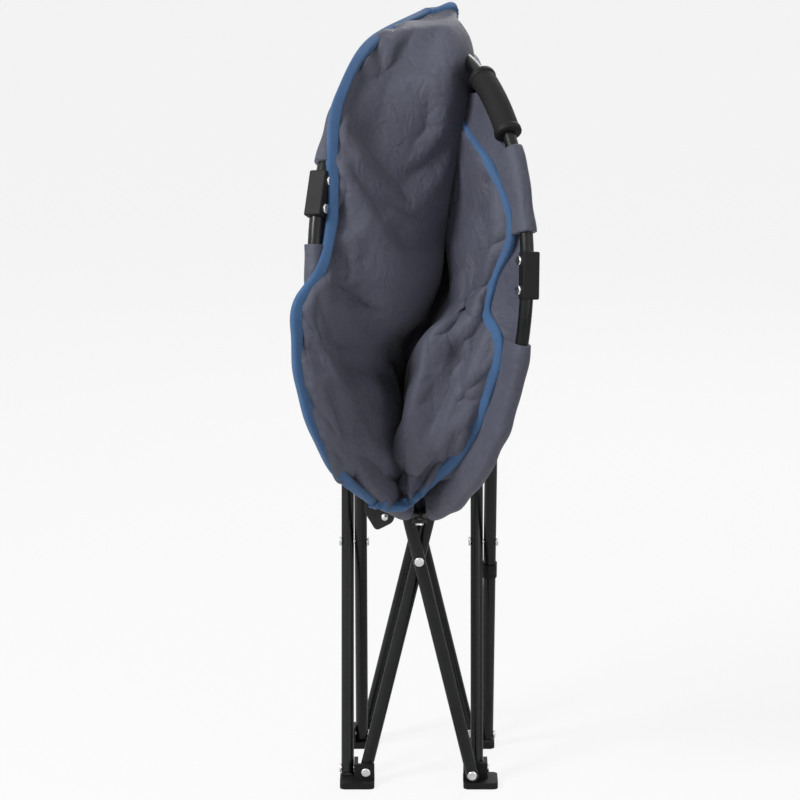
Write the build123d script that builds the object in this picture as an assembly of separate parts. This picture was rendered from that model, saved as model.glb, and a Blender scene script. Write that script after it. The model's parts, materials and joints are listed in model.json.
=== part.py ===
"""Folding saucer chair, shown folded and standing on its four feet.

Four pairs of crossed tubes stand in a square. Each pair is a scissor in its own upright plane.
An oval ring in two halves carries a padded seat, which folds along its middle like a shell.
Millimetres. +X is to the right as seen from the front, -Y to the front, +Z up, floor at z = 0.
"""
from build123d import *
from math import asin, cos, degrees, pi, radians, sin, sqrt
import os

os.makedirs("parts", exist_ok=True)

# ---- driving dimensions ----
half_leg = 290.0          # foot pivot to crossing, and crossing to hub pivot
leg_lean = 13.5           # degrees from upright, folded
tube_radius = 8.0
tube_wall = 1.2
end_radius = 9.0          # rounded end of a leg, about its pivot
layer_gap = 0.4           # between a leg and what it lies against
corner_offset = 15.0      # corner line to pivot
pivot_height = 18.0

rivet_radius = 3.0
rivet_head_radius = 6.0
rivet_head_height = 2.2
rivet_head_round = 1.5    # radius of the head's rounded rim
pin_clearance = 0.05
rivet_bite = 4.0          # how deep a blind rivet sits in its ear

ear_thickness = 5.0
block_reach_out = 18.0    # foot and hub blocks, outwards from the corner line
block_reach_in = 26.0     # and inwards
base_height = 8.4         # solid sole of a foot, and crown of a hub
ear_rise = 11.0           # ear above the pivot
block_corner = 7.0

ring_length = 580.0       # front hinge to back hinge
ring_half_width = 265.0
ring_tilt = 76.0          # fold line of the ring above level, folded
ring_lift = 62.0          # each half above flat, folded
ring_front = 130.0        # front hinge, forward of the middle
ring_height = 372.0       # front hinge above the floor
ring_end = 17.0           # tube end to fold line
left_block_at = 107.0     # degrees round the half ring to its side block
right_block_at = 88.0
block_half_angle = 3.4    # from the block's middle to each of its rivets
block_length = 56.0
tube_joint_half = 0.4     # from the block's middle to each tube end
block_width = 22.0
block_depth = 13.0
block_round = 2.0         # rounding of the block's edges
block_bed = 2.0           # how far the block reaches in past the tube's centre
grip_radius = 15.0
left_grip = (152.0, 172.0)    # degrees round the half ring to the grip's two ends
right_grip = (124.0, 143.0)

lug_radius = 9.0
lug_thickness = 5.0
lug_gap = 0.5
hinge_pin_radius = 2.5
plug_start = 14.0
plug_end = 42.0
plug_clearance = 0.1

strut_width = 22.0
strut_thickness = 3.0
strut_side = 14.0         # strut past its rivet and its pin
tilt_along = 135.0        # tilt pin, along the fold line from the front hinge
tilt_behind = 38.0        # tilt pin, behind the fold line
rail_width = 12.0
rail_depth = 7.0
rail_behind = 17.0        # rail face behind the fold line
barrel_radius = 7.0
barrel_half = 7.0
yoke_gap = 0.5
yoke_wall = 3.0

pad_back = 11.0           # pad behind the ring plane at the fold line
pad_rim_clear = 3.0       # pad edge to ring tube
pad_fold_clear = 3.0      # pad edge to the fold line
pad_front_inset = 14.0    # pad outline behind the ring's front end
pad_back_inset = 24.0     # pad outline before the ring's back end
pad_blunt = 16.0          # length of outline left off at either end
pad_crown = 26.0          # rise of the stuffed face
pad_belly = 20.0          # fall of the back
pad_edge = 10.0           # thickness at the seam by the ring
pad_stations = 9
pad_fold_wave = 4.0       # rise and fall of the face from fold to fold
pad_fold_pitch = 1.5      # half waves of the face between two stations
pad_end_fill = 0.6        # how much of a station's step the stuffing reaches past the pad's ends

collar_height = 250.0
collar_length = 20.0
collar_wall = 1.6

# ---- worked out ----
lean = radians(leg_lean)
half_side = half_leg * sin(lean) + corner_offset
layer = tube_radius + layer_gap
crossing_height = pivot_height + half_leg * cos(lean)
hub_height = pivot_height + 2 * half_leg * cos(lean)
tilt = radians(ring_tilt)
lift = radians(ring_lift)
front_hinge = Vector(0, -ring_front, ring_height)
fold_axis = Vector(0, cos(tilt), sin(tilt))
fold_normal = Vector(0, -sin(tilt), cos(tilt))
corner_names = ["front_left", "front_right", "back_right", "back_left"]
side_names = ["front", "right", "back", "left"]


made = {}


def write(name, *solids):
    """Keep one node, as one solid or a group of separate solids."""
    made[name] = solids


def rod(start, end, radius):
    """Round bar between two points."""
    line = Vector(*end) - Vector(*start)
    plane = Plane(origin=start, z_dir=line)
    return extrude(plane * Circle(radius), line.length)


def block(low, high):
    """Box from its lowest corner to its highest."""
    size = [h - l for l, h in zip(low, high)]
    middle = [(h + l) / 2 for l, h in zip(low, high)]
    return Pos(*middle) * Box(*size)


def turned(shape, index):
    """The shape carried to corner or side number index."""
    return Rot(0, 0, 90 * index) * shape


def one(shape):
    """The single solid in a shape."""
    return shape.solids()[0]


def leg(outer):
    """Leg tube of the front side, with holes for its end pivots and its crossing."""
    plane_y = -half_side - layer if outer else -half_side + layer
    sign = -1 if outer else 1
    span = half_side - corner_offset
    foot = Vector(-sign * span, plane_y, pivot_height)
    hub = Vector(sign * span, plane_y, hub_height)
    along = (hub - foot).normalized()
    low = foot - along * end_radius
    high = hub + along * end_radius
    body = rod(low, high, tube_radius) - rod(low - along, high + along, tube_radius - tube_wall)
    across = Vector(0, 2 * tube_radius, 0)
    keep = rod(foot - across, foot + across, end_radius)
    keep += rod(hub - across, hub + across, end_radius)
    keep += rod(foot, hub, 2 * tube_radius)
    body = body & keep
    for end in (foot, hub):
        body -= rod(end - across, end + across, rivet_radius + pin_clearance)
    middle = Vector(0, plane_y, crossing_height)
    hole = rivet_radius if outer else rivet_radius + pin_clearance
    body -= rod(middle - across, middle + across, hole)
    return one(body)


def rivet(start, end, head_at_start, head_at_end):
    """Shank from start to end, with a domed head beyond either end."""
    along = (end - start).normalized()
    shape = rod(start, end, rivet_radius)
    for wanted, point, out in ((head_at_start, start, along * -1), (head_at_end, end, along)):
        if wanted:
            head = rod(point, point + out * rivet_head_height, rivet_head_radius)
            tip = head.edges().sort_by(lambda e: (e.center() - point).dot(out))[-1]
            shape += fillet(tip, rivet_head_round)
    return one(shape)


def corner_block(height, up, x_outer, y_outer):
    """Foot or hub block at the front left corner, with one ear beside each of its two legs.

    height is the pivot height, and up is 1 for a foot and -1 for a hub, whose solid part is above.
    x_outer says that the leg along X lies in the outer layer, and y_outer the same along Y.
    """
    corner = -half_side
    x_ear = (0, ear_thickness) if x_outer else (-ear_thickness, 0)
    y_ear = (0, ear_thickness) if y_outer else (-ear_thickness, 0)
    base = height - up * pivot_height
    base_in = base + up * base_height
    tip = height + up * ear_rise
    low_z, high_z = sorted((base, base_in))
    sole = block((corner - block_reach_out, corner - block_reach_out, low_z),
                 (corner + block_reach_in, corner + block_reach_in, high_z))
    upright = sole.edges().filter_by(Axis.Z)
    sole = fillet(upright, block_corner)
    low_z, high_z = sorted((base_in, tip))
    shape = sole + block((corner + min(y_ear), corner + x_ear[0], low_z),
                         (corner + block_reach_in, corner + x_ear[1], high_z))
    shape += block((corner + y_ear[0], corner + min(x_ear), low_z),
                   (corner + y_ear[1], corner + block_reach_in, high_z))
    return shape


def corner_rivets(height, x_outer, y_outer):
    """The two rivets of a foot or hub: the first runs along Y, the second along X."""
    face = layer + tube_radius + layer_gap
    corner = -half_side
    rivets = []
    for outer, swap in ((x_outer, False), (y_outer, True)):
        if outer:
            ends = (-face, rivet_bite)
            heads = (True, False)
        else:
            ends = (-ear_thickness, face)
            heads = (True, True)
        points = []
        for reach in ends:
            place = (corner + corner_offset, corner + reach, height)
            if swap:
                place = (place[1], place[0], height)
            points.append(Vector(*place))
        rivets.append(rivet(points[0], points[1], *heads))
    return rivets


def drilled(shape, pins):
    """The block with a hole for each rivet shank."""
    for pin in pins:
        shape -= pin
    return one(shape)


def half_plane():
    """Plane of the left half ring: x along the fold line, y outwards, z towards the sitter."""
    outwards = Vector(-cos(lift), 0, 0) + fold_normal * sin(lift)
    return Plane(origin=front_hinge, x_dir=fold_axis, z_dir=fold_axis.cross(outwards))


def ring_point(angle):
    """Tube centre at an angle round the half ring, in the half plane."""
    turn = radians(angle)
    return Vector(ring_length / 2 * (1 - cos(turn)), ring_half_width * sin(turn), 0)


def ring_bar(start, end, radius):
    """Bar of the ring's curve between two angles, in the half plane."""
    middle = (ring_length / 2, 0)
    path = EllipticalCenterArc(middle, ring_length / 2, ring_half_width, 180 - end, arc_size=end - start)
    return sweep(Plane(path ^ 0) * Circle(radius), path=path)


def ring_angle(reach, back):
    """Angle at which the tube centre is this far from the fold line, at the front or the back."""
    turn = degrees(asin(reach / ring_half_width))
    return 180 - turn if back else turn


def on_side(shape, left):
    """A shape of the half plane carried to the left half, or mirrored to the right half."""
    placed = half_plane() * shape
    return placed if left else mirror(placed, about=Plane.YZ)


def hinge_knuckle(at, low, back, hole):
    """Plug in a ring tube's end with its knuckle round the fold line."""
    plug = ring_bar(*sorted((ring_angle(plug_start, back), ring_angle(plug_end, back))),
                    tube_radius - tube_wall - plug_clearance)
    knuckle = rod((at + low, 0, 0), (at + low + lug_thickness, 0, 0), lug_radius)
    arm = block((at + low, 0, -lug_thickness), (at + low + lug_thickness, plug_start + 2, lug_thickness))
    bore = rod((at + low - 1, 0, 0), (at + low + lug_thickness + 1, 0, 0), hole)
    return one(plug + knuckle + arm - bore)


def side_block(angle, pins):
    """Plastic block over the joint of the front and back tubes of one half ring."""
    middle = ring_point(angle)
    ahead = ring_point(angle + 1) - ring_point(angle - 1)
    frame = Plane(origin=middle, x_dir=ahead, z_dir=(0, 0, 1))
    side = 1 if frame.y_dir.Y > 0 else -1
    body = Box(block_length, block_depth, block_width)
    body = fillet(body.edges(), block_round)
    body = frame * (Pos(0, side * (block_depth / 2 - block_bed), 0) * body)
    body -= ring_bar(angle - 2 * block_half_angle, angle + 2 * block_half_angle, tube_radius)
    for pin in pins:
        body -= pin
    return one(body)


def pad_half():
    """Stuffed half of the seat, from the fold line to the ring, drawn in at its edges."""
    sections = []
    half_length = (ring_length - pad_front_inset - pad_back_inset) / 2
    centre = pad_front_inset + half_length
    widest = ring_half_width - tube_radius - pad_rim_clear
    for step in range(pad_stations):
        reach = (half_length - pad_blunt) * (2 * step / (pad_stations - 1) - 1)
        along = centre + reach
        rim = widest * sqrt(1 - (reach / half_length) ** 2)
        fill = sin(pi * (step + pad_end_fill) / (pad_stations - 1 + 2 * pad_end_fill))
        middle = (pad_fold_clear + rim) / 2
        wave = pad_fold_wave * sin(pi * pad_fold_pitch * step)
        inner = (pad_fold_clear, 0)
        outer = (rim, 0)
        front = ThreePointArc(inner, (middle, pad_crown * fill + wave), outer)
        edge = Line(outer, (rim, -pad_edge))
        belly = (middle, -pad_edge - pad_belly * fill)
        back = ThreePointArc((rim, -pad_edge), belly, (pad_fold_clear, -pad_back))
        close = Line((pad_fold_clear, -pad_back), inner)
        face = make_face(Curve() + [front, edge, back, close])
        sections.append(Plane(origin=(along, 0, 0), x_dir=(0, 1, 0), z_dir=(1, 0, 0)) * face)
    return one(loft(sections))


# ---- legs, feet and hubs ----
for index, side in enumerate(side_names):
    write(f"leg_{side}_inner", turned(leg(False), index))
    write(f"leg_{side}_outer", turned(leg(True), index))

for index, corner in enumerate(corner_names):
    foot_rivets = corner_rivets(pivot_height, False, True)
    foot = drilled(corner_block(pivot_height, 1, False, True), foot_rivets)
    write(f"foot_{corner}", turned(foot, index))
    write(f"foot_rivets_{corner}", *[turned(pin, index) for pin in foot_rivets])
    hub_rivets = corner_rivets(hub_height, True, False)
    hub = drilled(corner_block(hub_height, -1, True, False), hub_rivets)
    write(f"hub_{corner}", turned(hub, index))
    write(f"hub_rivets_{corner}", *[turned(pin, index) for pin in hub_rivets])

# ---- crossing rivets: the front one also carries the strut ----
inner_face = -half_side + layer + tube_radius
strut_face = inner_face + layer_gap
for index, side in enumerate(side_names):
    reach = strut_face + strut_thickness if side == "front" else inner_face
    start = Vector(0, -half_side - layer - tube_radius - layer_gap, crossing_height)
    end = Vector(0, reach + layer_gap, crossing_height)
    write(f"crossing_rivet_{side}", turned(rivet(start, end, True, True), index))

# ---- strut from the front crossing up to the tilt pin ----
tilt_pin = front_hinge + fold_axis * tilt_along - fold_normal * tilt_behind
strut = block((-strut_width / 2, strut_face, crossing_height - strut_side),
              (strut_width / 2, strut_face + strut_thickness, tilt_pin.Z - barrel_radius - yoke_wall))
strut = fillet(strut.edges().filter_by(Axis.Y), strut_thickness)
yoke_in = barrel_half + yoke_gap
for sign in (-1, 1):
    low_x, high_x = sorted((sign * yoke_in, sign * (yoke_in + yoke_wall)))
    strut += block((low_x, strut_face, tilt_pin.Z - 3 * barrel_radius),
                   (high_x, tilt_pin.Y + barrel_radius - 1, tilt_pin.Z))
    strut += rod((low_x, tilt_pin.Y, tilt_pin.Z), (high_x, tilt_pin.Y, tilt_pin.Z), barrel_radius)
strut -= rod((0, strut_face - 1, crossing_height), (0, strut_face + strut_thickness + 1, crossing_height),
             rivet_radius + pin_clearance)
pin_half = yoke_in + yoke_wall
tilt_pin_start = Vector(-pin_half, tilt_pin.Y, tilt_pin.Z)
tilt_pin_end = Vector(pin_half, tilt_pin.Y, tilt_pin.Z)
tilt_pin_shape = rivet(tilt_pin_start, tilt_pin_end, True, True)
write("seat_strut", one(strut - tilt_pin_shape))
write("tilt_pin", tilt_pin_shape)

# ---- rail behind the fold line, from the front hinge to the tilt pin ----
rail_plane = Plane(origin=front_hinge, x_dir=fold_axis, z_dir=fold_normal)
lug_step = lug_thickness + lug_gap
left_low = -lug_step / 2 - lug_thickness
right_low = -lug_step / 2 + lug_gap
rail_lug = left_low - lug_gap - lug_thickness
rail = block((rail_lug, -rail_width / 2, -rail_behind - rail_depth),
             (tilt_along, rail_width / 2, -rail_behind))
rail += block((rail_lug, -rail_width / 2, -rail_behind - 1), (rail_lug + lug_thickness, rail_width / 2, 0))
rail += rod((rail_lug, 0, 0), (rail_lug + lug_thickness, 0, 0), lug_radius)
rail += rod((tilt_along, -barrel_half, -tilt_behind), (tilt_along, barrel_half, -tilt_behind), barrel_radius)
rail += block((tilt_along - barrel_radius, -rail_width / 2, -tilt_behind),
              (tilt_along, rail_width / 2, -rail_behind))
rail -= rod((tilt_along, -2 * barrel_half, -tilt_behind), (tilt_along, 2 * barrel_half, -tilt_behind),
            rivet_radius + pin_clearance)
front_pin = rod((rail_lug - 1, 0, 0), (right_low + lug_thickness + 1, 0, 0), hinge_pin_radius)
for face, out in ((rail_lug, -1), (right_low + lug_thickness + lug_gap, 1)):
    front_pin += rod((face, 0, 0), (face + out * rivet_head_height, 0, 0), hinge_pin_radius * 2)
rail -= front_pin
write("seat_rail", rail_plane * one(rail))
write("front_hinge_pin", rail_plane * one(front_pin))

# ---- ring halves, with hinge knuckles, side blocks, grips and pads ----
free_hole = hinge_pin_radius + pin_clearance
back_pin = rod((ring_length - right_low - lug_thickness - 1, 0, 0),
               (ring_length - left_low + 1, 0, 0), hinge_pin_radius)
for face, out in ((ring_length - right_low - lug_thickness - lug_gap, -1), (ring_length - left_low, 1)):
    back_pin += rod((face, 0, 0), (face + out * rivet_head_height, 0, 0), hinge_pin_radius * 2)
write("back_hinge_pin", on_side(one(back_pin), True))
first_angle = ring_angle(ring_end, False)
last_angle = ring_angle(ring_end, True)
halves = (("left", True, left_block_at, left_grip), ("right", False, right_block_at, right_grip))
for half, left, block_at, grip_span in halves:
    low = left_low if left else right_low
    front = hinge_knuckle(0, low, False, free_hole)
    back_low = -low - lug_thickness
    back = hinge_knuckle(ring_length, back_low, True, hinge_pin_radius if left else free_hole)
    write(f"front_knuckle_{half}", on_side(front, left))
    write(f"back_knuckle_{half}", on_side(back, left))
    pins = []
    for turn in (-block_half_angle, block_half_angle):
        spot = ring_point(block_at + turn)
        reach = Vector(0, 0, block_width / 2)
        pins.append(rivet(spot - reach, spot + reach, True, True))
    spans = ((first_angle, block_at - tube_joint_half), (block_at + tube_joint_half, last_angle))
    for name, (start, end) in zip(("front", "back"), spans):
        tube = ring_bar(start, end, tube_radius) - ring_bar(start, end, tube_radius - tube_wall)
        for pin in pins:
            tube -= pin
        write(f"ring_tube_{name}_{half}", on_side(one(tube), left))
    write(f"side_block_{half}", on_side(side_block(block_at, pins), left))
    write(f"side_block_rivets_{half}", *[on_side(pin, left) for pin in pins])
    grip = ring_bar(*grip_span, grip_radius) - ring_bar(*grip_span, tube_radius)
    write(f"grip_{half}", on_side(one(grip), left))
    write(f"pad_{half}", on_side(pad_half(), left))

# ---- collar on the right side's outer leg ----
hub_end = Vector(-half_side + corner_offset, -half_side - layer, hub_height)
leg_line = Vector(-sin(lean), 0, cos(lean))
collar_low = hub_end - leg_line * ((hub_height - collar_height) / cos(lean))
collar_high = collar_low + leg_line * collar_length
collar = rod(collar_low, collar_high, tube_radius + collar_wall)
collar -= rod(collar_low, collar_high, tube_radius)
write("leg_collar", turned(one(collar), 1))

# ---- the origin goes to the middle of the whole chair's box, on the floor ----
boxes = [solid.bounding_box() for solids in made.values() for solid in solids]
middle_x = (min(b.min.X for b in boxes) + max(b.max.X for b in boxes)) / 2
middle_y = (min(b.min.Y for b in boxes) + max(b.max.Y for b in boxes)) / 2
for name, solids in made.items():
    placed = [Pos(-middle_x, -middle_y, 0) * solid for solid in solids]
    shape = placed[0] if len(placed) == 1 else Compound(children=placed)
    export_step(shape, f"parts/{name}.step")

print("moved by", -middle_x, -middle_y, 0.0)
print("tilt pin", tilt_pin, "fold axis", fold_axis)
print("half side", half_side, "crossing", crossing_height, "hub", hub_height)
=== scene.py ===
"""Folding saucer chair, folded and standing: the padded seat with its cloths, and every finish.

Metres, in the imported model's frame: +X to the right as seen from the front, -Y to the front, +Z up.
The seat's shapes are given in its own three directions: x sideways, n forward from the fold line,
and s along the fold line from the front hinge to the back hinge.
"""
import json
from math import radians

import bmesh
import bpy
import numpy as np
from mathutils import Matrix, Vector


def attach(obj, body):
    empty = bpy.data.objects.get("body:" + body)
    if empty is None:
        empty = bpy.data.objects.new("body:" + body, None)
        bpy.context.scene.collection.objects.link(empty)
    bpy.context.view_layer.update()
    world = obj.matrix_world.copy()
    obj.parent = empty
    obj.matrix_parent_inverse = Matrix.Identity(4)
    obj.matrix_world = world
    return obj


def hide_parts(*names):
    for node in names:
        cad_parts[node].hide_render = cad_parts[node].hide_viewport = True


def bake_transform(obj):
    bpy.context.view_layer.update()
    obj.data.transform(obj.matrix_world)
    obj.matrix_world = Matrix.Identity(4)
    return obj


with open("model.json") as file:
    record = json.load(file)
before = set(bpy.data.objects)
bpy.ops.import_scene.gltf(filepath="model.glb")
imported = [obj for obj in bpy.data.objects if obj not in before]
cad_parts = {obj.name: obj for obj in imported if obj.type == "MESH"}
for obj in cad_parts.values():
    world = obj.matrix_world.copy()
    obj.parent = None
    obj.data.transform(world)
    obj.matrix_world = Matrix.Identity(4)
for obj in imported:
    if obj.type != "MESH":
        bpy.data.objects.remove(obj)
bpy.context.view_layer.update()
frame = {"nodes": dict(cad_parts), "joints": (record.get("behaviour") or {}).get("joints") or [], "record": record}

# ---- the ring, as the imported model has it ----
RING_LENGTH = 0.580
RING_HALF_WIDTH = 0.265
RING_LIFT = radians(62.0)
LEFT, RIGHT = -1, 1            # the side of a half, which is also its sign on x
HALF_BODY = {LEFT: "left_half", RIGHT: "right_half"}

HINGE = next(j for j in frame["joints"] if j["name"] == "left_half_hinge")
ORIGIN = np.array(HINGE["pos_m"], float)
ALONG = np.array(HINGE["axis"], float)
SIDE = np.array([1.0, 0.0, 0.0])
FORWARD = np.array([0.0, -ALONG[2], ALONG[1]])

# ---- the padded seat: its grid and thickness, and how its simulation may move it ----
PAD_GRID = 150                 # cells along either side of the pad's grid
PAD_THICKNESS = 0.012
PAD_EDGE_SHARE = 0.25          # share of the thickness left at the rim
STUFFING_BAND = (0.012, 0.085)  # shares of the pad, in from its rim, over which it thickens
HELD_CELLS = 1.2               # cells in from the rim whose points the simulation holds
CRUMPLE_EDGE = 0.0005          # how far the simulation may move the cloth, at the rim and in the body
CRUMPLE_BODY = 0.018
CRUMPLE_BAND = (0.01, 0.12)    # shares of the pad, in from its rim, between those two
CLOTH_FRAMES = 24
CLOTH_GRAVITY = 0.03           # share of real gravity
CLOTH_SETTINGS = {
    "quality": 6,
    "mass": 0.4,
    "tension_stiffness": 30,
    "compression_stiffness": 30,
    "shear_stiffness": 12,
    "bending_stiffness": 6.0,
    "tension_damping": 12,
    "compression_damping": 12,
    "vertex_group_mass": "held",
    "pin_stiffness": 1.0,
    "shrink_min": -0.05,       # below nought the cloth is larger than its sheet, here by a twentieth
}

# ---- the pad's leading lines, in millimetres: share of the way up, x, n, s ----
LEFT_RIM = np.array([
    (0.00, -60, 96, 16), (0.07, -98, 160, 45), (0.15, -124, 202, 92), (0.25, -142, 231, 150),
    (0.36, -147, 245, 206), (0.45, -143, 250, 252), (0.50, -124, 246, 278), (0.60, -108, 228, 340),
    (0.68, -106, 224, 385), (0.75, -107, 219, 428), (0.84, -98, 195, 494), (0.93, -58, 126, 570),
    (1.00, 8, 28, 618)], float)
LEFT_RIDGE = np.array([
    (0.00, -44, 90, 18), (0.07, -30, 76, 54), (0.15, -27, 80, 108), (0.25, -29, 86, 168),
    (0.36, -34, 88, 220), (0.45, -10, 94, 254), (0.50, 4, 94, 288), (0.60, 9, 94, 345),
    (0.75, 25, 94, 440), (0.88, 60, 84, 544), (1.00, 42, 22, 622)], float)
VALLEY = np.array([
    (0.00, -30, 84, 17), (0.07, -22, 34, 44), (0.15, -14, 20, 100), (0.36, -10, 20, 215),
    (0.60, 4, 20, 345), (0.75, 10, 20, 440), (0.88, 22, 20, 540), (1.00, 32, 14, 612)], float)
RIGHT_RIDGE = np.array([
    (0.00, -16, 78, 19), (0.07, -20, 82, 50), (0.15, -21, 100, 110), (0.25, -10, 112, 168),
    (0.36, 0, 116, 218), (0.45, 18, 112, 250), (0.52, 44, 88, 290), (0.64, 40, 62, 350),
    (0.80, 42, 60, 420), (0.90, 42, 46, 486), (1.00, 36, 16, 580)], float)
RIGHT_RIM = np.array([
    (0.00, 2, 72, 27), (0.07, 38, 104, 56), (0.15, 64, 144, 92), (0.25, 86, 184, 150),
    (0.36, 96, 202, 204), (0.45, 82, 184, 242), (0.52, 88, 190, 272), (0.64, 108, 222, 326),
    (0.80, 88, 184, 408), (0.90, 48, 92, 486), (1.00, 34, 14, 572)], float)
PAD_COLUMNS = (-1.0, -0.55, -0.16, -0.05, 0.06, 0.18, 0.6, 1.0)     # where its eight lines lie across
LEFT_MIDDLE = 0.6              # share of the rim in the line between the left rim and the left ridge
LEFT_SWELL = 0.030             # forward rise of each panel between its rim and its ridge
RIGHT_SWELL = 0.010
VALLEY_SPREAD = 0.7            # share of the way sideways to each ridge at which the valley's edges lie
BOTTOM_TUCK = 0.010            # how far the bottom edge hangs below its two ends
TUCK_REACH = 0.08              # share of the way up that the tuck reaches
GATHER_DEPTH = 0.007           # of the gathered folds along the bottom edge
GATHER_PEAK = 0.03             # share of the way up at which they are deepest, and that they reach
GATHER_REACH = 0.16
GATHER_RATE = 17.0             # radians of their wave from the middle to either rim
GATHER_DRIFT = (2.0, 3.0)      # how far that wave wanders, in radians, and its own rate

# ---- the pad's long creases: across and share of the way up at both ends, width and depth in mm ----
FOLDS = [
    (-0.62, 0.350, -0.27, 0.335, 11, 9), (-0.43, 0.285, -0.18, 0.253, 9, 12),
    (-0.60, 0.480, -0.36, 0.448, 12, 9), (-0.78, 0.680, -0.91, 0.583, 12, 14),
    (-0.91, 0.583, -0.70, 0.515, 12, 12), (-0.42, 0.650, -0.27, 0.620, 10, 8),
    (-0.48, 0.427, -0.22, 0.417, 10, 8), (-0.39, 0.240, -0.37, 0.165, 11, 8),
    (-0.64, 0.270, -0.70, 0.140, 12, 10), (-0.80, 0.075, -0.22, 0.050, 7, 14),
    (-0.57, 0.068, -0.80, 0.020, 6, 9), (-0.70, 0.800, -0.45, 0.770, 14, 8),
    (-0.45, 0.880, -0.20, 0.850, 14, 7), (0.28, 0.490, 0.80, 0.435, 11, 12),
    (0.36, 0.330, 0.51, 0.200, 10, 11), (0.55, 0.340, 0.82, 0.230, 10, 10),
    (0.90, 0.280, 0.72, 0.220, 8, 9), (0.94, 0.640, 0.30, 0.545, 10, 13),
    (0.60, 0.765, 0.95, 0.790, 10, 8), (0.48, 0.380, 0.68, 0.295, 9, 9),
    (0.22, 0.085, 0.32, 0.040, 7, 9), (0.34, 0.045, 0.66, 0.105, 8, 9)]
FOLD_END_SHARE = 0.35          # share of a crease's depth left at its two ends

# ---- the binding tape and its stitches ----
INNER_ROW = 3                  # the grid's row, in from the rim, that the tape's section points to
RIM_SMOOTHINGS = 8
TAPE_HALF_WIDTH = 0.0068
TAPE_HALF_HEIGHT = 0.0048
TAPE_SET_IN = 0.0036           # rim to the tape's middle
TAPE_WAVE = 0.07               # share by which its width comes and goes
TAPE_WAVES = 38
TAPE_POWER = 0.5               # below 1 its section is squarer than an ellipse
STITCH_PITCH = 0.0046
STITCH_LENGTH = 0.0034
STITCH_RADIUS = 0.00055
STITCH_OUT = 0.62              # the stitches' line, as a share of the tape's half width from its middle
STITCH_RISE = 0.92             # and of its half height
BEAD_SIDES = 6
BEAD_RINGS = ((-0.5, 0.4), (-0.3, 1.0), (0.3, 1.0), (0.5, 0.4))     # shares of a stitch's length, radius

# ---- the backing and the side cloths ----
CLOTH_THICKNESS = 0.0012
BACKING_POINTS = (90, 121)     # up the fold line, and across
BACKING_TURN = (radians(7), radians(171))      # where it starts and ends round the half rings
BACKING_EDGE = 0.004           # its edge, in from the tube's centre line
BACKING_BACK = 0.004           # how far back the whole cloth lies
BACKING_GAP = 0.007            # how far out from a half's plane it lies, beside the valley
BACKING_SAG = 0.016
VALLEY_DEPTH = 0.012           # rounding of its valley along the fold line
VALLEY_WIDTH = 0.02
PAD_CLEARANCE = 0.003          # between the pad's back and the cloth
PAD_ROUND = 12.0               # per metre, how roundly the cloth passes over the pad's bulges
PAD_DEEPEST = -0.03            # points of the pad further inside a half's plane don't count
BULGE_FROM_FOLD = 0.03         # the cloth takes up the pad's bulges over this much from the fold line
BULGE_FROM_EDGE = 0.02         # and over this much from its own edge
SIDE_POINTS = (110, 17)        # up the rim, and from the rim to the tube
SIDE_SHARE = (0.03, 0.93)      # share of the way up the pad, at its two ends
SIDE_IN = 0.001                # its edges: out from the pad's rim, and in from the tube's centre line
SIDE_OUT = 0.0085
SIDE_END = 0.004               # nearest it comes to either end of the ring
SIDE_CLOTH_SAG = 0.003
SIDE_WAVE = 0.5                # share by which that sag comes and goes
SIDE_WAVE_RATE = 0.37          # radians a row

# ---- the sleeves and the grips' collars ----
SLEEVE_RADIUS = 0.0108
SLEEVE_SIDES = 20
SLEEVE_EASE = 1.08             # share of its size, with two waves of (height, rate, start) along it
SLEEVE_WAVES = ((0.05, 23, 0), (0.03, 37, 1))
SLEEVES = {                    # side, first and last angle round the half ring in degrees, slack
    "sleeve_front_left": (LEFT, 8, 95, 0.012),
    "sleeve_back_left": (LEFT, 115, 151, 0.012),
    "sleeve_front_right": (RIGHT, 8, 72, 0.022),
    "sleeve_back_right": (RIGHT, 98, 119, 0.020),
}
COLLAR_RADII = np.array([8.2, 14.6, 16.2, 16.6, 16.6, 16.2, 14.6, 8.2]) / 1000
COLLAR_STATIONS = np.array([-1.0, -1.0, -0.75, -0.45, 0.45, 0.75, 1.0, 1.0])
COLLAR_HALF_ANGLE = 0.9        # degrees
COLLAR_STEP = 1e-4             # degrees between stations, so that none share a place on the tube
COLLAR_SIDES = 40
COLLARS = {                    # side and angle round the half ring in degrees
    "collar_right_low": (RIGHT, 124),
    "collar_right_high": (RIGHT, 143),
    "collar_left_low": (LEFT, 152),
    "collar_left_high": (LEFT, 172),
}

# ---- the corner plate and its rivet ----
PLATE_OUTLINE = [(-68, 34), (-68, 0), (-54, -23), (-32, -12), (-29, 6), (6, 12), (6, 34)]  # x, s in mm
PLATE_CORNER = 0.006
PLATE_CORNER_STEPS = 7
PLATE_RINGS = ((0.97, -0.0168), (1.0, -0.0162), (1.0, -0.0152), (0.97, -0.0146))  # share of outline, n
RIVET_AT = (-0.043, -0.0146, -0.006)
RIVET_RADIUS = 0.0046
RIVET_HEIGHT = 0.0024
RIVET_SUNK = 0.0004            # how deep its rim starts in the plate
RIVET_ANGLES = (0, 0, 15, 30, 45, 60, 75, 86)  # degrees up the dome
RIVET_SIDES = 28

# ---- the dividing plane of the two halves, which leans with the folded pad ----
DIVIDE_AT = (0.006, 0.0, 0.28)
DIVIDE_SLOPE = 0.154
DIVIDE_HALF = 0.022            # half the thickness of the band about the leaning dividing plane


def place(x, n, s):
    """Points of the model's frame from seat coordinates: ORIGIN + x SIDE + n FORWARD + s ALONG."""
    x, n, s = np.broadcast_arrays(x, n, s)
    return ORIGIN + x[..., None] * SIDE + n[..., None] * FORWARD + s[..., None] * ALONG


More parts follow.
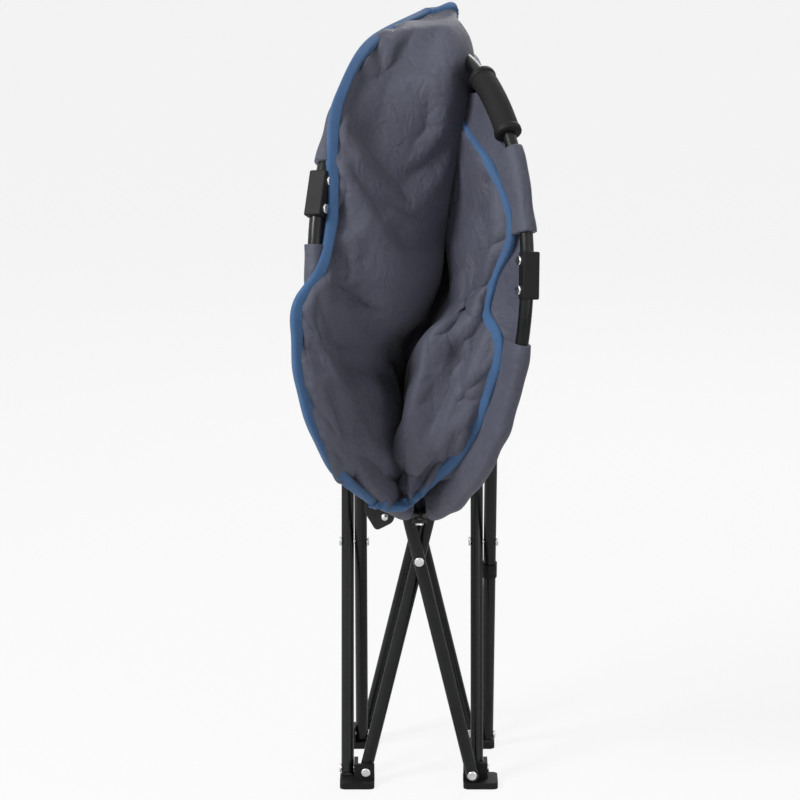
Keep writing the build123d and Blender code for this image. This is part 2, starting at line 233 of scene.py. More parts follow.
def ring_curve(angle, side):
    """Tube centre round a half ring: s = L/2 (1 - cos t), out = W sin t, lifted by RING_LIFT.

    side is -1 for the left half and 1 for the right half.
    """
    out = RING_HALF_WIDTH * np.sin(angle)
    s = RING_LENGTH / 2 * (1 - np.cos(angle))
    return side * out * np.cos(RING_LIFT), out * np.sin(RING_LIFT), s


def unit(vectors):
    """Vectors made one long."""
    return vectors / np.maximum(np.linalg.norm(vectors, axis=-1, keepdims=True), 1e-9)


def smoothstep(low, high, value):
    """3 t^2 - 2 t^3 of the value between low and high."""
    t = np.clip((value - low) / (high - low), 0, 1)
    return t * t * (3 - 2 * t)


def mesh_object(name, points, faces, uv=None):
    """A mesh object at the origin from points, faces and, on cloth, each point's place on the cloth."""
    mesh = bpy.data.meshes.new(name)
    mesh.from_pydata(points.reshape(-1, 3).tolist(), [], [list(face) for face in faces])
    mesh.update()
    piece = bpy.data.objects.new(name, mesh)
    bpy.context.scene.collection.objects.link(piece)
    mesh.polygons.foreach_set("use_smooth", np.ones(len(mesh.polygons), bool))
    if uv is not None:
        corner_point = np.empty(len(mesh.loops), int)
        mesh.loops.foreach_get("vertex_index", corner_point)
        mesh.uv_layers.new(name="cloth").data.foreach_set("uv", uv.reshape(-1, 2)[corner_point].ravel())
    return piece


def closed_object(name, points, faces, uv=None):
    """A mesh object whose faces close on themselves, all turned outwards."""
    piece = mesh_object(name, points, faces, uv)
    work = bmesh.new()
    work.from_mesh(piece.data)
    bmesh.ops.recalc_face_normals(work, faces=work.faces)
    work.to_mesh(piece.data)
    work.free()
    return piece


def mesh_points(mesh):
    """A mesh's points as an array of places."""
    points = np.empty(len(mesh.vertices) * 3)
    mesh.vertices.foreach_get("co", points)
    return points.reshape(-1, 3)


def weight_group(piece, name, weights):
    """A vertex group with a weight for each point, where that is above nought."""
    group = piece.vertex_groups.new(name=name)
    for level in np.unique(weights[weights > 0]):
        group.add(np.nonzero(weights == level)[0].tolist(), float(level), "REPLACE")
    return group


def thicken(piece, thickness):
    """A sheet's thickness, half on either face of it."""
    thick = piece.modifiers.new("thickness", "SOLIDIFY")
    thick.thickness = thickness
    thick.offset = 0
    return thick


def cloth_uv(points):
    """Each grid point's place on its flat cloth, in metres: along its row from the middle, and up."""
    over = np.linalg.norm(np.diff(points, axis=1, prepend=points[:, :1]), axis=2).cumsum(1)
    up = np.linalg.norm(np.diff(points, axis=0, prepend=points[:1]), axis=2).cumsum(0)
    height = np.broadcast_to(up.mean(1, keepdims=True), over.shape)
    return np.stack([over - over[:, -1:] / 2, height], -1)


def grid_faces(rows, columns, close_rows=False, close_columns=False):
    """Quads over a grid of rows by columns points, joined round where closed."""
    last_row = rows if close_rows else rows - 1
    last_column = columns if close_columns else columns - 1
    i, j = np.meshgrid(np.arange(last_row), np.arange(last_column), indexing="ij")
    up, over = (i + 1) % rows, (j + 1) % columns
    quads = np.stack([i * columns + j, up * columns + j, up * columns + over, i * columns + over], -1)
    return quads.reshape(-1, 4)


def tube_faces(rings, sides):
    """Quads along a tube of rings, with one face over either end."""
    first = list(range(sides))
    last = list(range(rings * sides - 1, (rings - 1) * sides - 1, -1))
    return grid_faces(rings, sides, close_columns=True).tolist() + [first, last]


def curve_through(stations, values, at):
    """Cubic Hermite curve through the stations, with averaged slopes, at each place of an array."""
    stations = np.asarray(stations, float)
    slope = np.gradient(values, stations, axis=0)
    i = np.clip(np.searchsorted(stations, at) - 1, 0, len(stations) - 2)
    h = (stations[i + 1] - stations[i])[:, None]
    t = np.clip((at - stations[i])[:, None] / h, 0, 1)
    return ((2 * t**3 - 3 * t**2 + 1) * values[i] + (t**3 - 2 * t**2 + t) * slope[i] * h
            + (3 * t**2 - 2 * t**3) * values[i + 1] + (t**3 - t**2) * slope[i + 1] * h)


def leading_line(line, share):
    """A leading line's x, n and s in metres at an array of shares of the way up."""
    return curve_through(line[:, 0], line[:, 1:] / 1000, share)


def pad_middle(across, share):
    """Middle surface of the pad in seat coordinates: a cubic across eight lines that run up it.

    across runs from -1 at the left rim to 1 at the right rim, and share from 0 at the bottom to 1.
    """
    left, ridge, valley = (leading_line(line, share) for line in (LEFT_RIM, LEFT_RIDGE, VALLEY))
    inner, right = leading_line(RIGHT_RIDGE, share), leading_line(RIGHT_RIM, share)
    swell = np.sin(np.pi * share)[:, None] * np.array([0.0, 1.0, 0.0])
    left_middle = LEFT_MIDDLE * left + (1 - LEFT_MIDDLE) * ridge + LEFT_SWELL * swell
    right_middle = 0.5 * (inner + right) + RIGHT_SWELL * swell
    spread = VALLEY_SPREAD * np.array([1.0, 0.0, 0.0])
    valley_left = valley + spread * (ridge - valley)
    valley_right = valley + spread * (inner - valley)
    net = np.stack([left, left_middle, ridge, valley_left, valley_right, inner, right_middle, right])
    rows = curve_through(PAD_COLUMNS, net.reshape(len(PAD_COLUMNS), -1), across)
    surface = rows.reshape(len(across), len(share), 3).swapaxes(0, 1)
    tuck = (1 - smoothstep(0, TUCK_REACH, share))[:, None] * (1 - across**2)[None, :]
    surface[..., 2] -= BOTTOM_TUCK * tuck
    rise = smoothstep(0, GATHER_PEAK, share) - smoothstep(GATHER_PEAK, GATHER_REACH, share)
    gather = rise[:, None] * (1 - np.abs(across)**4)[None, :]
    drift = GATHER_DRIFT[0] * np.sin(GATHER_DRIFT[1] * across)
    surface[..., 1] += GATHER_DEPTH * gather * np.sin(GATHER_RATE * across + drift)[None, :]
    return surface


def pad_sheet():
    """The grid's places across and up the pad, and its middle surface in the model's frame."""
    across = np.linspace(-1, 1, PAD_GRID + 1)
    share = np.linspace(0, 1, PAD_GRID + 1)
    middle = pad_middle(across, share)
    return across, share, place(middle[..., 0], middle[..., 1], middle[..., 2])


def sunk_folds(points):
    """The pad's grid with its long creases: each sinks depth exp(-d / width), d from the crease's line.

    A crease runs between two places on the grid, and is shallower towards its two ends.
    """
    normal = unit(np.cross(np.gradient(points, axis=1), np.gradient(points, axis=0)))
    sunk = points.copy()
    size = len(points) - 1
    for across_a, share_a, across_b, share_b, width, depth in FOLDS:
        start = points[round(share_a * size), round((across_a + 1) / 2 * size)]
        line = points[round(share_b * size), round((across_b + 1) / 2 * size)] - start
        t = np.clip(((points - start) @ line) / (line @ line), 0, 1)
        off = np.linalg.norm(points - start - t[..., None] * line, axis=-1)
        shape = FOLD_END_SHARE + (1 - FOLD_END_SHARE) * np.sin(np.pi * t)
        sunk -= (depth / 1000 * np.exp(-off / (width / 1000)) * shape)[..., None] * normal
    return sunk


def crumple(piece, held, cap):
    """Cloth simulation on a sheet whose rim is held and whose cloth is a little too large for it.

    held is each point's weight in the rim, and cap the furthest that it may move, in metres.
    """
    group = weight_group(piece, CLOTH_SETTINGS["vertex_group_mass"], held)
    rest = mesh_points(piece.data)
    cloth = piece.modifiers.new("cloth", "CLOTH")
    for setting, value in CLOTH_SETTINGS.items():
        setattr(cloth.settings, setting, value)
    cloth.settings.effector_weights.gravity = CLOTH_GRAVITY
    scene = bpy.context.scene
    for step in range(1, CLOTH_FRAMES + 1):
        scene.frame_set(step)
    shown = piece.evaluated_get(bpy.context.evaluated_depsgraph_get())
    move = mesh_points(shown.data) - rest
    size = np.linalg.norm(move, axis=1, keepdims=True)
    move *= np.minimum(1, cap[:, None] / np.maximum(size, 1e-9))
    piece.modifiers.remove(cloth)
    piece.vertex_groups.remove(group)
    piece.data.vertices.foreach_set("co", (rest + move).ravel())
    piece.data.update()
    scene.frame_set(1)


def divide(piece):
    """Work out the middle and width of the leaning dividing plane between the ring's halves, and bake a fabric
    piece's place into its points.
    """
    middle = place(*np.array(DIVIDE_AT))
    way = SIDE - DIVIDE_SLOPE * ALONG
    way = way / np.linalg.norm(way) * DIVIDE_HALF
    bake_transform(piece)


def seat_pad():
    """The padded seat: a grid over the middle surface, thick in its body and thin at its rim."""
    across, share, middle = pad_sheet()
    points = sunk_folds(middle)
    pad = mesh_object("seat_pad", points, grid_faces(PAD_GRID + 1, PAD_GRID + 1), cloth_uv(points))
    edge = np.minimum.outer(np.minimum(share, 1 - share), (1 - np.abs(across)) / 2).ravel()
    held = np.where(edge < HELD_CELLS / PAD_GRID, 1.0, 0.0)
    crumple(pad, held, CRUMPLE_EDGE + (CRUMPLE_BODY - CRUMPLE_EDGE) * smoothstep(*CRUMPLE_BAND, edge))
    stuffing = PAD_EDGE_SHARE + (1 - PAD_EDGE_SHARE) * smoothstep(*STUFFING_BAND, edge)
    weight_group(pad, "stuffing", np.round(stuffing, 2))
    thicken(pad, PAD_THICKNESS).vertex_group = "stuffing"
    fine = pad.modifiers.new("smooth", "SUBSURF")
    fine.levels = 1
    fine.render_levels = 1
    return pad


def rim_frame():
    """The pad's rim as a closed loop of places, and its ways along the rim, into the pad and across."""
    grid = pad_sheet()[2]
    loop = np.concatenate([grid[0, :-1], grid[:-1, -1], grid[-1, :0:-1], grid[:0:-1, 0]])
    inner = np.concatenate([grid[INNER_ROW, :-1], grid[:-1, -1 - INNER_ROW],
                            grid[-1 - INNER_ROW, :0:-1], grid[:0:-1, INNER_ROW]])
    way = np.roll(loop, -1, 0) - np.roll(loop, 1, 0)
    inwards = inner - loop
    for _ in range(RIM_SMOOTHINGS):
        way = way + 0.5 * (np.roll(way, 1, 0) + np.roll(way, -1, 0))
        inwards = 0.5 * inwards + 0.25 * (np.roll(inwards, 1, 0) + np.roll(inwards, -1, 0))
    way = unit(way)
    inwards = unit(inwards - way * (inwards * way).sum(1, keepdims=True))
    return loop, way, inwards, unit(np.cross(way, inwards))


def tube_round(name, path, across, up, wide, high, closed=False, sides=14, power=0.7):
    """Superellipse section carried along a path: across * wide cos + up * high sin, each to a power."""
    turn = np.linspace(0, 2 * np.pi, sides, endpoint=False)
    c, s = np.cos(turn), np.sin(turn)
    c = np.sign(c) * np.abs(c) ** power
    s = np.sign(s) * np.abs(s) ** power
    wide = np.broadcast_to(wide, len(path))[:, None, None]
    high = np.broadcast_to(high, len(path))[:, None, None]
    points = (path[:, None] + across[:, None] * wide * c[None, :, None]
              + up[:, None] * high * s[None, :, None])
    if closed:
        faces = grid_faces(len(path), sides, close_rows=True, close_columns=True)
    else:
        faces = tube_faces(len(path), sides)
    return closed_object(name, points, faces, cloth_uv(points))


def binding_tape():
    """Woven tape folded over the pad's rim, all the way round, a little wavy in its width."""
    loop, _, inwards, up = rim_frame()
    wave = 1 + TAPE_WAVE * np.sin(np.arange(len(loop)) * 2 * np.pi * TAPE_WAVES / len(loop))
    return tube_round("binding_tape", loop + inwards * TAPE_SET_IN, inwards, up, TAPE_HALF_WIDTH * wave,
                      TAPE_HALF_HEIGHT, closed=True, power=TAPE_POWER)


def stitching():
    """A row of stitches near the tape's inner edge, on both faces: a small six-sided bead each.

    Beads stand STITCH_PITCH apart along the rim, four rings long, each sunk a little into the tape.
    """
    loop, way, inwards, up = rim_frame()
    run = np.append(0, np.linalg.norm(np.roll(loop, -1, 0) - loop, axis=1).cumsum())
    at = np.linspace(0, run[-1], int(run[-1] / STITCH_PITCH), endpoint=False)
    near = np.searchsorted(run, at, side="right") - 1
    part = ((at - run[near]) / (run[near + 1] - run[near]))[:, None]
    centre = loop[near] * (1 - part) + loop[(near + 1) % len(loop)] * part
    way, inwards, up = way[near], inwards[near], up[near]
    turn = np.linspace(0, 2 * np.pi, BEAD_SIDES, endpoint=False)
    lengths, radii = np.array(BEAD_RINGS).T
    along = STITCH_LENGTH * lengths[:, None] + 0 * turn
    round_by = STITCH_RADIUS * radii[:, None]
    out = TAPE_SET_IN + STITCH_OUT * TAPE_HALF_WIDTH
    beads = []
    for face in (-1, 1):
        middle = centre + inwards * out + up * face * TAPE_HALF_HEIGHT * STITCH_RISE
        beads.append(middle[:, None, None] + way[:, None, None] * along[None, ..., None]
                     + inwards[:, None, None] * (round_by * np.cos(turn))[None, ..., None]
                     + up[:, None, None] * (round_by * np.sin(turn))[None, ..., None])
    points = np.concatenate(beads)
    rings, size = len(BEAD_RINGS), len(BEAD_RINGS) * BEAD_SIDES
    starts = np.arange(len(points)) * size
    quads = grid_faces(rings, BEAD_SIDES, close_columns=True)[None] + starts[:, None, None]
    ends = [np.array(end)[None] + starts[:, None]
            for end in (range(BEAD_SIDES - 1, -1, -1), range(size - BEAD_SIDES, size))]
    return closed_object("binding_stitches", points,
                         quads.reshape(-1, 4).tolist() + np.concatenate(ends).tolist())


def pad_reach(pad, side, d, s):
    """How far the pad stands out behind a half's plane, at each place (d, s) of that plane.

    It is the highest of the pad's own heights, each less PAD_ROUND times its distance squared.
    """
    apart = mesh_points(pad.data) - ORIGIN
    x, n, along = apart @ SIDE, apart @ FORWARD, apart @ ALONG
    out = side * x * np.cos(RING_LIFT) + n * np.sin(RING_LIFT)
    height = side * x * np.sin(RING_LIFT) - n * np.cos(RING_LIFT)
    near = height > PAD_DEEPEST
    out, along, height = out[near], along[near], height[near]
    rows = [(height - PAD_ROUND * ((out - over[:, None])**2 + (along - up[:, None])**2)).max(1)
            for over, up in zip(d, s)]
    return np.array(rows)


def cloth_sheet(name, points):
    """A sheet of cloth over a grid of points."""
    sheet = mesh_object(name, points, grid_faces(*points.shape[:2]), cloth_uv(points))
    thicken(sheet, CLOTH_THICKNESS)
    return sheet


def backing_cloth(pad):
    """Backing behind the pad, from ring tube to ring tube: two half ellipses joined by a round valley.

    Out from the fold line by d, it lies beyond each half's plane and sags by BACKING_SAG
    sin(pi d / reach), or lies further out where the pad does.
    """
    rows, columns = BACKING_POINTS
    turn = np.linspace(*BACKING_TURN, rows)
    share = np.linspace(-1, 1, columns)
    reach = (RING_HALF_WIDTH * np.sin(turn) - BACKING_EDGE)[:, None]
    s = (RING_LENGTH / 2 * (1 - np.cos(turn)))[:, None] + 0 * share
    d = np.abs(share)[None, :] * reach
    round_valley = VALLEY_DEPTH * np.exp(-(d / VALLEY_WIDTH) ** 2)
    sag = BACKING_SAG * np.sin(np.pi * np.abs(share))[None, :] * np.sin(turn)[:, None]
    inside = smoothstep(0, BULGE_FROM_FOLD, d) * smoothstep(0, BULGE_FROM_EDGE, reach - d)
    half = columns // 2
    behind = np.concatenate([pad_reach(pad, LEFT, d[:, :half], s[:, :half]),
                             pad_reach(pad, RIGHT, d[:, half:], s[:, half:])], axis=1)
    behind = behind + 0.5 * PAD_THICKNESS
    flat = BACKING_GAP * smoothstep(0, VALLEY_WIDTH, d) + sag
    out = -np.maximum(flat, (behind + PAD_CLEARANCE) * inside)
    x = np.sign(share)[None, :] * (d * np.cos(RING_LIFT) - out * np.sin(RING_LIFT))
    n = d * np.sin(RING_LIFT) + out * np.cos(RING_LIFT) - BACKING_BACK + round_valley
    return cloth_sheet("backing_cloth", place(x, n, s))


def ring_frame(side, angles):
    """Places along the ring's tube at angles in degrees, with the ways towards the fold and across."""
    x, n, s = ring_curve(np.radians(angles), side)
    path = place(x, n, s)
    way = unit(np.gradient(path, axis=0))
    inwards = unit(place(np.zeros_like(x), np.zeros_like(n), s) - path)
    inwards = unit(inwards - way * (inwards * way).sum(1, keepdims=True))
    return path, inwards, np.cross(way, inwards)


def side_cloth(name, side):
    """Side cloth from the pad's rim to the ring's tube: straight across, with a shallow wavy sag back.

    Each row joins the rim and the tube at the same place along the fold; its sag is sin(pi v)
    SIDE_CLOTH_SAG, wavy from row to row.
    """
    rows, columns = SIDE_POINTS
    rim = leading_line(LEFT_RIM if side == LEFT else RIGHT_RIM, np.linspace(*SIDE_SHARE, rows))
    along = np.clip(rim[:, 2], SIDE_END, RING_LENGTH - SIDE_END)
    path, inwards, _ = ring_frame(side, np.degrees(np.arccos(1 - 2 * along / RING_LENGTH)))
    start = place(rim[:, 0], rim[:, 1], rim[:, 2])
    start = start + unit(path - start) * SIDE_IN
    end = path + inwards * SIDE_OUT
    v = np.linspace(0, 1, columns)[None, :, None]
    wave = 1 + SIDE_WAVE * np.sin(np.arange(rows) * SIDE_WAVE_RATE)[:, None, None]
    points = start[:, None] * (1 - v) + end[:, None] * v
    return cloth_sheet(name, points - FORWARD * SIDE_CLOTH_SAG * np.sin(np.pi * v) * wave)


def sleeve(name, side, start, end, slack):
    """Fabric sleeve round the ring tube, fuller towards the pad, its size wavy along its length."""
    angles = np.linspace(start, end, 3 * abs(end - start))
    path, inwards, up = ring_frame(side, angles)
    ease = SLEEVE_EASE
    for height, rate, first in SLEEVE_WAVES:
        ease = ease + height * np.sin(np.radians(angles) * rate + first)
    return tube_round(name, path + inwards * slack * 0.5, inwards, up,
                      (SLEEVE_RADIUS + slack * 0.5) * ease, SLEEVE_RADIUS * ease, sides=SLEEVE_SIDES)


def grip_collar(name, side, at):
    """Moulded end ring of a foam grip: a flat-topped bead turned round the tube at an angle."""
    angles = at + COLLAR_STATIONS * COLLAR_HALF_ANGLE + np.arange(len(COLLAR_STATIONS)) * COLLAR_STEP
    path, inwards, up = ring_frame(side, angles)
    return tube_round(name, path, inwards, up, COLLAR_RADII, COLLAR_RADII, sides=COLLAR_SIDES,
                      power=1.0)


def bracket_plate():
    """Pressed corner plate on the rail's foot: an outline with rounded corners and edges.

    A corner is the curve (1 - t)^2 a + 2 t (1 - t) corner + t^2 b, with a and b PLATE_CORNER from it.
    """
    outline = np.array(PLATE_OUTLINE, float) / 1000
    before, after = np.roll(outline, 1, 0), np.roll(outline, -1, 0)
    t = np.linspace(0, 1, PLATE_CORNER_STEPS)[None, :, None]
    start = outline + unit(before - outline) * PLATE_CORNER
    end = outline + unit(after - outline) * PLATE_CORNER
    rounded = ((1 - t)**2 * start[:, None] + 2 * t * (1 - t) * outline[:, None] + t**2 * end[:, None])
    rounded = rounded.reshape(-1, 2)
    middle = rounded.mean(0)
    rings = []
    for shrink, n in PLATE_RINGS:
        flat = middle + (rounded - middle) * shrink
        rings.append(place(flat[:, 0], np.full(len(flat), n), flat[:, 1]))
    piece = closed_object("bracket_plate", np.stack(rings), tube_faces(len(rings), len(rounded)))
    piece.data.polygons.foreach_set("use_smooth", np.zeros(len(piece.data.polygons), bool))
    return piece


def rivet_head(name):
    """Domed rivet head standing forward: rings at radius cos a, height sin a, on a short rim."""
    x, n, s = RIVET_AT
    angle = np.radians(RIVET_ANGLES)
    rise = np.append(-RIVET_SUNK, RIVET_HEIGHT * np.sin(angle[1:]))
    turn = np.linspace(0, 2 * np.pi, RIVET_SIDES, endpoint=False)
    reach = RIVET_RADIUS * np.cos(angle)[:, None]
    points = place(x + reach * np.cos(turn), n + rise[:, None] + 0 * turn, s + reach * np.sin(turn))
    return closed_object(name, points, tube_faces(len(RIVET_ANGLES), RIVET_SIDES))


# ---- the new pieces, with what carries each and the slot that it takes its finish from ----
new_pieces = []


def carry(piece, slot, body=None):
    """Name a new piece's slot, and what carries it: a body, or where none is given nothing, its place only baked
    into its points.
    """
    if body:
        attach(piece, body)
    else:
        divide(piece)
    new_pieces.append((piece, slot))


pad = seat_pad()
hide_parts("pad_left", "pad_right")
carry(pad, "grey_fabric")
carry(binding_tape(), "blue_tape")
carry(stitching(), "blue_tape")

backing = backing_cloth(pad)
carry(backing, "grey_fabric")

side_left = side_cloth("side_cloth_left", LEFT)
carry(side_left, "grey_fabric", HALF_BODY[LEFT])
side_right = side_cloth("side_cloth_right", RIGHT)
carry(side_right, "grey_fabric", HALF_BODY[RIGHT])

for name, (side, start, end, slack) in SLEEVES.items():
    carry(sleeve(name, side, start, end, slack), "grey_fabric", HALF_BODY[side])
for name, (side, at) in COLLARS.items():
    carry(grip_collar(name, side, at), "black_plastic", HALF_BODY[side])
carry(bracket_plate(), "black_plate", "seat_rail")
carry(rivet_head("bracket_rivet"), "bright_steel", "seat_rail")


# ---- shared shader groups ----
def new_node(tree, kind, **inputs):
    """A shader node of a kind, with some of its inputs set by name."""
    made = tree.nodes.new("ShaderNode" + kind)
    for name, value in inputs.items():
        made.inputs[name.replace("_", " ")].default_value = value
    return made


def shader_group(name, inputs, outputs):
    """An empty node group with named inputs (name, socket, start value) and float outputs."""
    group = bpy.data.node_groups.new(name, "ShaderNodeTree")
    for label, socket, start in inputs:
        made = group.interface.new_socket(label, in_out="INPUT", socket_type=socket)
        if start is not None:
            made.default_value = start
    for label in outputs:
        group.interface.new_socket(label, in_out="OUTPUT", socket_type="NodeSocketFloat")
    return group, group.nodes.new("NodeGroupInput"), group.nodes.new("NodeGroupOutput")


def mottle_group():
    """Slow cloudy change over a surface, 0 to 1, as dust and fading make it."""
    group, start, end = shader_group(
        "mottle", [("Vector", "NodeSocketVector", None), ("Scale", "NodeSocketFloat", 20.0)], ["Factor"])
    noise = new_node(group, "TexNoise", Detail=5.0, Roughness=0.6, Distortion=0.4)
    spread = new_node(group, "MapRange", From_Min=0.3, From_Max=0.7)
    link = group.links.new
    link(start.outputs["Vector"], noise.inputs["Vector"])
    link(start.outputs["Scale"], noise.inputs["Scale"])
    link(noise.outputs["Fac"], spread.inputs["Value"])
    link(spread.outputs["Result"], end.inputs["Factor"])
    return group


def weave_group():
    """Plain weave on UV: two crossed bands of threads, high where either thread is on top."""
    group, start, end = shader_group(
        "weave", [("UV", "NodeSocketVector", None), ("Threads", "NodeSocketFloat", 1400.0)], ["Height"])
    link = group.links.new
    bands = []
    for direction in ("X", "Y"):
        wave = new_node(group, "TexWave", Distortion=0.6, Detail=1.0)
        wave.bands_direction = direction
        link(start.outputs["UV"], wave.inputs["Vector"])
        link(start.outputs["Threads"], wave.inputs["Scale"])
        bands.append(wave)
    top = group.nodes.new("ShaderNodeMath")
    top.operation = "MAXIMUM"
    link(bands[0].outputs["Fac"], top.inputs[0])
    link(bands[1].outputs["Fac"], top.inputs[1])
    link(top.outputs[0], end.inputs["Height"])
    return group


def grain_group():
    """Fine pits and bumps of powder coat, moulded nylon or foam."""
    group, start, end = shader_group(
        "grain", [("Vector", "NodeSocketVector", None), ("Scale", "NodeSocketFloat", 900.0)], ["Height"])
    cells = new_node(group, "TexVoronoi")
    cells.feature = "SMOOTH_F1"
    noise = new_node(group, "TexNoise", Detail=3.0)
    both = group.nodes.new("ShaderNodeMath")
    both.operation = "ADD"
    link = group.links.new
    for texture in (cells, noise):
        link(start.outputs["Vector"], texture.inputs["Vector"])
        link(start.outputs["Scale"], texture.inputs["Scale"])
    link(cells.outputs["Distance"], both.inputs[0])
    link(noise.outputs["Fac"], both.inputs[1])
    link(both.outputs[0], end.inputs["Height"])
    return group


MOTTLE = mottle_group()
WEAVE = weave_group()
GRAIN = grain_group()


def place_group(tree, group, coordinates, **values):
    """A shared group in a material, fed with coordinates."""
    made = tree.nodes.new("ShaderNodeGroup")
    made.node_tree = group
    tree.links.new(coordinates, made.inputs[0])
    for name, value in values.items():
        made.inputs[name].default_value = value
    return made


MIX_FACTOR, MIX_DARK, MIX_LIGHT, MIX_RESULT = 0, 6, 7, 2      # the Mix node's sockets for colours


def finish(name, dark, light, rough, metal=0.0, mottle=18.0, grain=None, weave=None, creases=None,
           rough_spread=0.08, sheen=0.0, specular=0.5):
    """A material from two close colours, with a rough range, and its grain, weave or small creases.

    grain and weave are (scale, depth in metres); creases is (scale, depth) of soft small wrinkles.
    """
    material = bpy.data.materials.new(name)
    material.use_nodes = True
    tree = material.node_tree
    link = tree.links.new
    shader = tree.nodes["Principled BSDF"]
    shader.inputs["Metallic"].default_value = metal
    shader.inputs["Specular IOR Level"].default_value = specular
    shader.inputs["Sheen Weight"].default_value = sheen
    shader.inputs["Sheen Roughness"].default_value = 0.5
    where = tree.nodes.new("ShaderNodeTexCoord")
    clouds = place_group(tree, MOTTLE, where.outputs["Object"], Scale=mottle)
    colour = tree.nodes.new("ShaderNodeMix")
    colour.data_type = "RGBA"
    colour.inputs[MIX_DARK].default_value = (*dark, 1)
    colour.inputs[MIX_LIGHT].default_value = (*light, 1)
    link(clouds.outputs["Factor"], colour.inputs[MIX_FACTOR])
    link(colour.outputs[MIX_RESULT], shader.inputs["Base Color"])
    roughness = new_node(tree, "MapRange", To_Min=rough - rough_spread, To_Max=rough + rough_spread)
    link(clouds.outputs["Factor"], roughness.inputs["Value"])
    link(roughness.outputs["Result"], shader.inputs["Roughness"])
    layers = []
    if creases:
        soft = new_node(tree, "TexNoise", Scale=creases[0], Detail=2.0, Distortion=1.2)
        link(where.outputs["Object"], soft.inputs["Vector"])
        layers.append((soft.outputs["Fac"], creases[1]))
    if weave:
        threads = place_group(tree, WEAVE, where.outputs["UV"], Threads=weave[0])
        layers.append((threads.outputs["Height"], weave[1]))
    if grain:
        pits = place_group(tree, GRAIN, where.outputs["Object"], Scale=grain[0])
        layers.append((pits.outputs["Height"], grain[1]))
    surface = shader.inputs["Normal"]
    for height, depth in reversed(layers):
        bump = new_node(tree, "Bump", Distance=depth, Strength=1.0)
        link(height, bump.inputs["Height"])
        link(bump.outputs["Normal"], surface)
        surface = bump.inputs["Normal"]
    return material


MATERIALS = {
    "black_tube": finish("satin_black_powder_coat", (0.004, 0.0045, 0.0045), (0.008, 0.009, 0.009), 0.30,
                         grain=(700.0, 0.00004), specular=0.3),
    "black_plate": finish("black_coated_plate", (0.004, 0.004, 0.004), (0.009, 0.009, 0.009), 0.42,
                          grain=(500.0, 0.00006), specular=0.35),
    "black_plastic": finish("moulded_black_nylon", (0.005, 0.005, 0.0055), (0.012, 0.012, 0.013), 0.55,
                            grain=(900.0, 0.0001), specular=0.2),
    "black_foam": finish("black_foam", (0.005, 0.005, 0.0055), (0.013, 0.013, 0.014), 0.75,
                         grain=(1100.0, 0.00025), rough_spread=0.05, specular=0.25),
    "bright_steel": finish("zinc_plate", (0.62, 0.62, 0.64), (0.80, 0.80, 0.80), 0.24, metal=1.0,
                           mottle=120.0, grain=(400.0, 0.00003)),
    "grey_fabric": finish("slate_fabric", (0.053, 0.056, 0.086), (0.073, 0.077, 0.112), 0.58, mottle=9.0,
                          weave=(420.0, 0.00012), creases=(55.0, 0.0022), sheen=0.12),
    "blue_tape": finish("blue_tape", (0.028, 0.088, 0.215), (0.044, 0.132, 0.295), 0.72, mottle=14.0,
                        weave=(260.0, 0.00035), sheen=0.15),
}

cad_slots = {part["node"]: part["material_slot"] for part in frame["record"]["subparts"]}
for name, piece in frame["nodes"].items():
    piece.data.materials.clear()
    piece.data.materials.append(MATERIALS[cad_slots[name]])
for piece, slot in new_pieces:
    piece.data.materials.append(MATERIALS[slot])

# ---- floor, world, lights and camera ----
FLOOR_HALF = 30.0
FLOOR_COLOUR = (0.88, 0.88, 0.88)
FLOOR_GLOW = 0.86              # share of the floor that the camera sees as plain white
WORLD_LIGHT = 0.25             # strength of the white all round as a light
MIDDLE = (0, 0, 0.6)           # what the lights are turned to
CAMERA_PLACE = (-0.0254, -3.886, 1.394)
CAMERA_PITCH = radians(12.83)  # downwards
CAMERA_LENS = 145.05


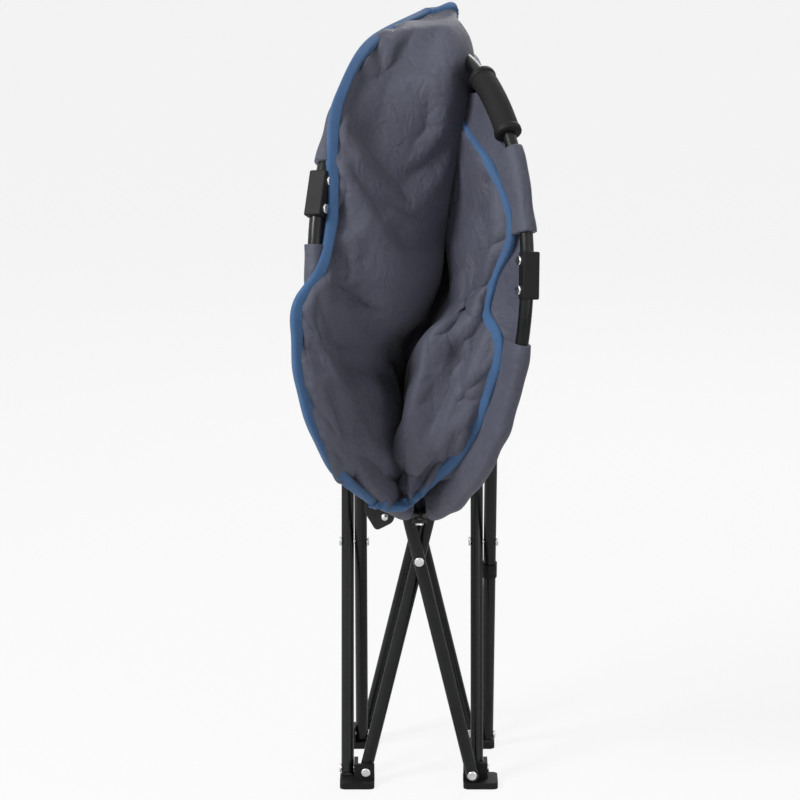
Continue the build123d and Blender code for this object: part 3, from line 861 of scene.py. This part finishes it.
def pale_floor():
    """A floor of matt white that the camera sees lighter than it is lit, though it keeps the shadow."""
    material = bpy.data.materials.new("pale_floor")
    material.use_nodes = True
    tree = material.node_tree
    shader = tree.nodes["Principled BSDF"]
    shader.inputs["Base Color"].default_value = (*FLOOR_COLOUR, 1)
    shader.inputs["Roughness"].default_value = 0.9
    shader.inputs["Specular IOR Level"].default_value = 0.1
    glow = new_node(tree, "Emission", Strength=1.0)
    path = tree.nodes.new("ShaderNodeLightPath")
    share = tree.nodes.new("ShaderNodeMath")
    share.operation = "MULTIPLY"
    share.inputs[1].default_value = FLOOR_GLOW
    mixed = tree.nodes.new("ShaderNodeMixShader")
    link = tree.links.new
    link(path.outputs["Is Camera Ray"], share.inputs[0])
    link(share.outputs[0], mixed.inputs[0])
    link(shader.outputs[0], mixed.inputs[1])
    link(glow.outputs[0], mixed.inputs[2])
    link(mixed.outputs[0], tree.nodes["Material Output"].inputs["Surface"])
    return material


def studio_world():
    """Plain white all round, dimmer as a light than the camera and a gloss see it."""
    world = bpy.data.worlds.new("studio")
    world.use_nodes = True
    tree = world.node_tree
    background = tree.nodes["Background"]
    background.inputs["Color"].default_value = (1, 1, 1, 1)
    path = tree.nodes.new("ShaderNodeLightPath")
    strength = new_node(tree, "MapRange", To_Min=WORLD_LIGHT, To_Max=1.0)
    seen = tree.nodes.new("ShaderNodeMath")
    seen.operation = "MAXIMUM"
    link = tree.links.new
    link(path.outputs["Is Camera Ray"], seen.inputs[0])
    link(path.outputs["Is Glossy Ray"], seen.inputs[1])
    link(seen.outputs[0], strength.inputs["Value"])
    link(strength.outputs["Result"], background.inputs["Strength"])
    return world


def soft_light(name, place_at, width, power):
    """Square area light at a place, turned to MIDDLE: width in metres, power in watts."""
    data = bpy.data.lights.new(name, "AREA")
    data.size = width
    data.energy = power
    light = bpy.data.objects.new(name, data)
    light.location = place_at
    light.rotation_euler = (Vector(MIDDLE) - Vector(place_at)).to_track_quat("-Z", "Y").to_euler()
    bpy.context.scene.collection.objects.link(light)


floor = mesh_object("floor", FLOOR_HALF * np.array([(-1, -1, 0), (1, -1, 0), (1, 1, 0), (-1, 1, 0)]),
                    [(0, 1, 2, 3)])
floor.data.materials.append(pale_floor())

bpy.context.scene.world = studio_world()
soft_light("key_light", (-2.0, -1.6, 2.5), 0.9, 80)
soft_light("fill_light", (2.2, -2.2, 1.2), 1.4, 13)
soft_light("back_light", (0.8, 2.4, 2.2), 1.2, 22)

camera_data = bpy.data.cameras.new("camera")
camera_data.lens = CAMERA_LENS
camera = bpy.data.objects.new("camera", camera_data)
camera.location = CAMERA_PLACE
camera.rotation_euler = (radians(90) - CAMERA_PITCH, 0, 0)
bpy.context.scene.collection.objects.link(camera)
bpy.context.scene.camera = camera
bpy.context.scene.view_settings.view_transform = "Standard"
